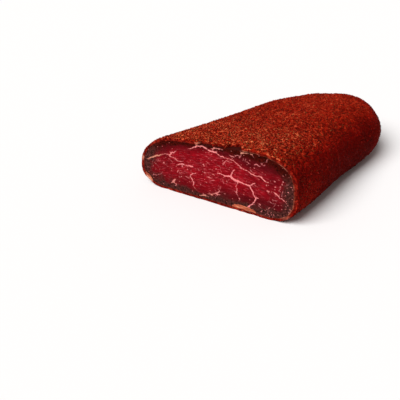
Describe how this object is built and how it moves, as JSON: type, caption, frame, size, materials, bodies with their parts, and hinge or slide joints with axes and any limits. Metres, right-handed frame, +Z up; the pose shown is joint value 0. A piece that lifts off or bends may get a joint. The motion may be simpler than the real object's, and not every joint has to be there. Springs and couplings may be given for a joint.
{
  "type": "pastirma",
  "caption": "Cut piece of air-dried beef, flattened and coated all over with spice paste, with a bare flat cut at one end.",
  "frame": {"origin": "middle of the footprint, on the surface that the piece lies on", "axes": "+Z up, +Y from the flat cut to the rounded far end, +X to the right when looking at the far end from the cut"},
  "size_m": [0.1269, 0.1742, 0.0429],
  "materials": {
    "dried_beef": "satin, deep crimson",
    "spice_coat": "rough and granular, rust red"
  },
  "bodies": {
    "root": {"dried_beef": "dried_beef", "spice_coat": "spice_coat"}
  },
  "joints": []
}
